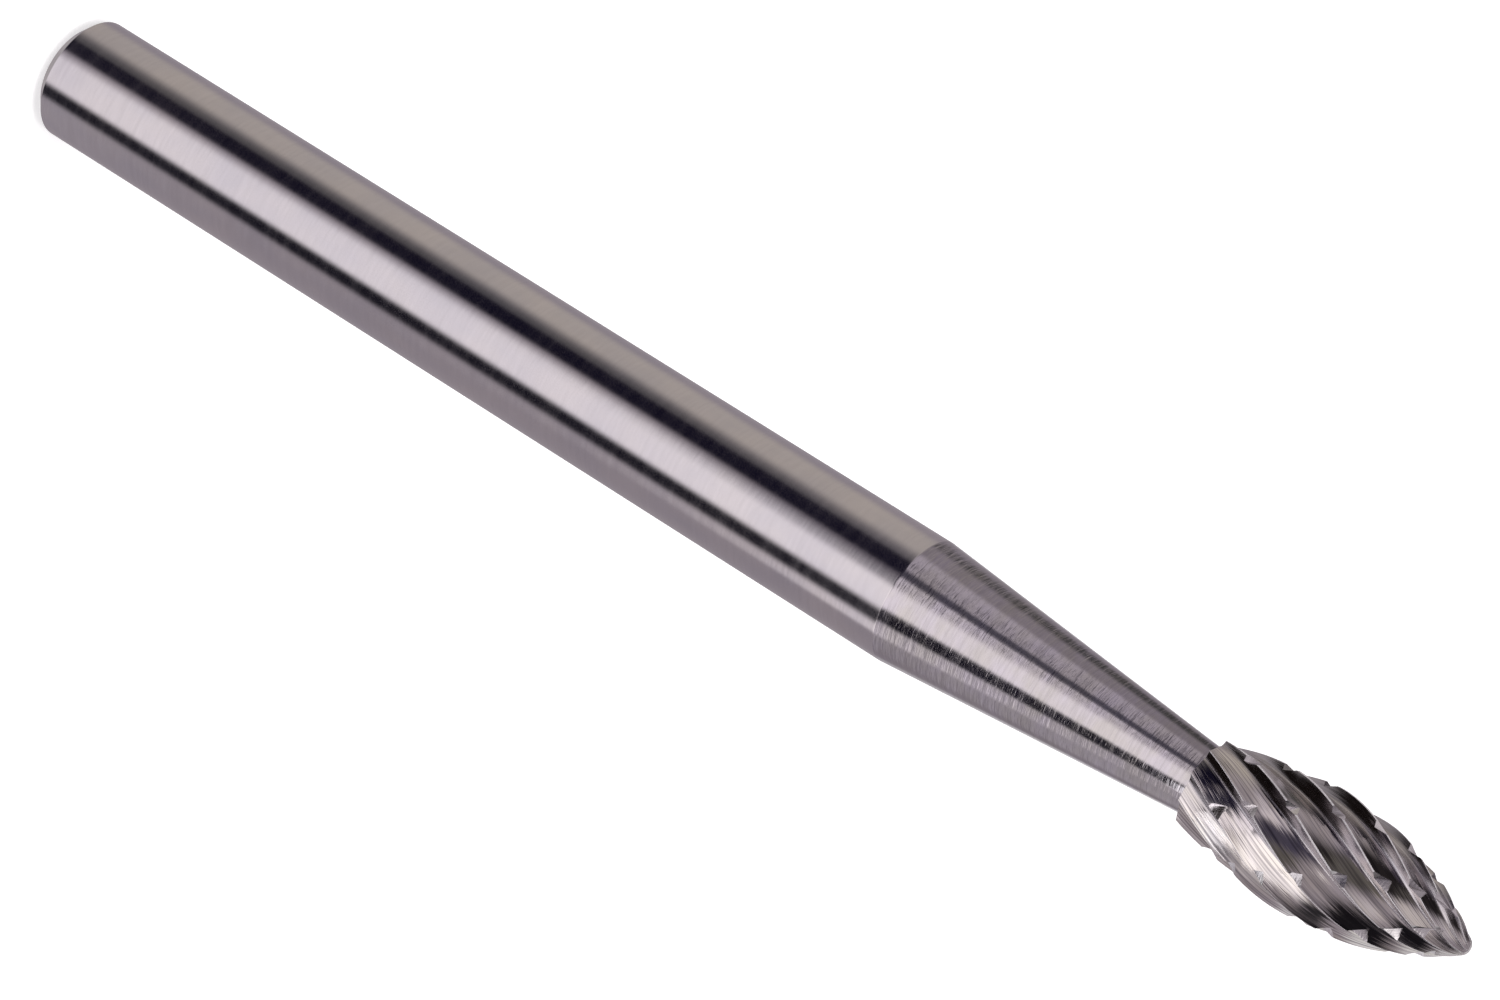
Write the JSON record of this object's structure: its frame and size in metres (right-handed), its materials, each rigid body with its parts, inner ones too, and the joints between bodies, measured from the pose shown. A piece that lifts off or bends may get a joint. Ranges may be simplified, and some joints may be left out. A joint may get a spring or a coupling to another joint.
{
  "type": "rotary burr",
  "caption": "Slim solid carbide rotary burr: a plain round shank, a tapered neck and a flame-shaped head with right-hand helical teeth and chip breakers.",
  "frame": {"origin": "centre of the flat end of the shank, on which the burr stands", "axes": "+Z along the axis, from the shank's end towards the tip of the head; X and Y across the shank, with the heel end of one tooth's cutting edge on +X"},
  "size_m": [0.003, 0.003, 0.04],
  "materials": {
    "carbide": "ground bare metal, satin on the shank and sharply ground on the teeth"
  },
  "bodies": {
    "root": {"burr": "carbide"}
  },
  "joints": []
}
